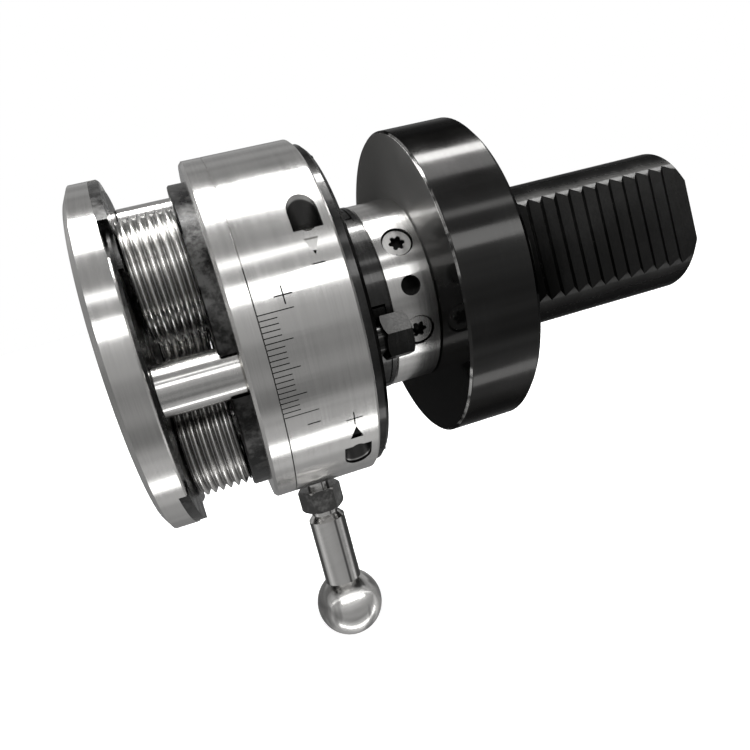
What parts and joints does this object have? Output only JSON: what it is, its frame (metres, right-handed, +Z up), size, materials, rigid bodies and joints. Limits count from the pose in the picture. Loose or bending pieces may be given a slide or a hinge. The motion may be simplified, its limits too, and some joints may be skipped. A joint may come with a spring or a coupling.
{
  "type": "thread rolling head",
  "caption": "Axial thread rolling head on a toothed round shank: grooved rolls on geared eccentric spindles, claw clutch, scale ring and ball handle.",
  "frame": {"origin": "on the shank axis at the flange's seating face", "axes": "+X along the shank to its free end, +Z up, the handle hangs along -Z, -Y towards the camera of the picture"},
  "size_m": [0.1604, 0.0892, 0.1384],
  "materials": {
    "black_oxide": "glossy black oxide with polished edges",
    "bright_steel": "turned and ground",
    "polished_steel": "polished",
    "roll_steel": "ground, oiled",
    "dark_steel": "dark oiled steel",
    "screw_steel": "blackened",
    "gear_steel": "cut and hardened",
    "bronze": "turned",
    "spring_steel": "drawn"
  },
  "bodies": {
    "holder": {"vdi_holder": "black_oxide", "hub_sleeve": "bright_steel", "hub_screws": "bright_steel", "sun_gear": "gear_steel", "rear_claw_ring": "black_oxide", "spring_seat": "gear_steel", "clutch_spring": "spring_steel"},
    "claw_slide": {"front_claw_ring": "black_oxide", "retaining_ring": "spring_steel", "turn_stop_pin": "gear_steel"},
    "cage": {"front_plate": "bright_steel", "thrust_plate": "dark_steel", "spacer_pillars": "bright_steel", "pillar_screws": "screw_steel", "mid_plate": "dark_steel", "mid_plate_screws": "screw_steel", "gear_ring": "bright_steel", "adjusting_pin": "gear_steel", "front_bushes": "bronze", "mid_bushes": "bronze"},
    "scale_head": {"scale_ring": "bright_steel", "rear_cover": "black_oxide", "cover_screws": "screw_steel", "opening_spring": "spring_steel", "handle_nut": "screw_steel", "handle_stem": "polished_steel", "handle_ball": "polished_steel", "stop_bolt": "screw_steel"},
    "adjusting_screw_a": {"adjusting_screw_a": "screw_steel"},
    "adjusting_screw_b": {"adjusting_screw_b": "screw_steel"},
    "spindle_1": {"spindle_1": "gear_steel", "pinion_1": "gear_steel", "roll_washers_1": "bronze"},
    "roll_1": {"roll_1": "roll_steel", "roll_bush_1": "bronze"},
    "spindle_2": {"spindle_2": "gear_steel", "pinion_2": "gear_steel", "roll_washers_2": "bronze"},
    "roll_2": {"roll_2": "roll_steel", "roll_bush_2": "bronze"},
    "spindle_3": {"spindle_3": "gear_steel", "pinion_3": "gear_steel", "roll_washers_3": "bronze"},
    "roll_3": {"roll_3": "roll_steel", "roll_bush_3": "bronze"}
  },
  "joints": [
    {"name": "trip_slide", "type": "slide", "parent": "holder", "child": "claw_slide", "axis": [-1, 0, 0], "range_m": [0, 0.004], "stiffness_N_per_m": 3000, "deforming": ["clutch_spring"]},
    {"name": "close_turn", "type": "hinge", "parent": "claw_slide", "child": "cage", "pos_m": [-0.06, 0, 0], "axis": [1, 0, 0], "range_deg": [0, 60], "stiffness_Nm_per_rad": 0.9},
    {"name": "size_adjust", "type": "hinge", "parent": "cage", "child": "scale_head", "pos_m": [-0.055, 0, 0], "axis": [1, 0, 0], "range_deg": [-5, 5]},
    {"name": "spindle_1_turn", "type": "hinge", "parent": "cage", "child": "spindle_1", "pos_m": [-0.0812, -0.00821, -0.02095], "axis": [0.9991, -0.0403, 0.0158], "range_deg": [0, 90]},
    {"name": "roll_1_spin", "type": "hinge", "parent": "spindle_1", "child": "roll_1", "pos_m": [-0.08118, -0.00816, -0.02215], "axis": [0.9991, -0.0403, 0.0158], "continuous": true},
    {"name": "spindle_2_turn", "type": "hinge", "parent": "cage", "child": "spindle_2", "pos_m": [-0.0812, -0.01404, 0.01758], "axis": [0.9991, 0.0338, 0.027], "range_deg": [0, 90]},
    {"name": "roll_2_spin", "type": "hinge", "parent": "spindle_2", "child": "roll_2", "pos_m": [-0.08118, -0.0151, 0.01814], "axis": [0.9991, 0.0338, 0.027], "continuous": true},
    {"name": "spindle_3_turn", "type": "hinge", "parent": "cage", "child": "spindle_3", "pos_m": [-0.0812, 0.02225, 0.00336], "axis": [0.9991, 0.0065, -0.0428], "range_deg": [0, 90]},
    {"name": "roll_3_spin", "type": "hinge", "parent": "spindle_3", "child": "roll_3", "pos_m": [-0.08118, 0.02326, 0.004], "axis": [0.9991, 0.0065, -0.0428], "continuous": true},
    {"name": "adjusting_screw_a_feed", "type": "slide", "parent": "scale_head", "child": "adjusting_screw_a", "axis": [0, 0.1409, -0.99], "range_m": [-0.003, 0.003]},
    {"name": "adjusting_screw_b_feed", "type": "slide", "parent": "scale_head", "child": "adjusting_screw_b", "axis": [0, 0.1409, -0.99], "range_m": [-0.003, 0.003]}
  ],
  "couplings": [
    {"joint": "spindle_1_turn", "follows": "close_turn", "ratio": 1.5},
    {"joint": "spindle_2_turn", "follows": "close_turn", "ratio": 1.5},
    {"joint": "spindle_3_turn", "follows": "close_turn", "ratio": 1.5},
    {"joint": "adjusting_screw_a_feed", "follows": "size_adjust", "m_per_rad": -0.0339},
    {"joint": "adjusting_screw_b_feed", "follows": "size_adjust", "m_per_rad": -0.0339}
  ]
}
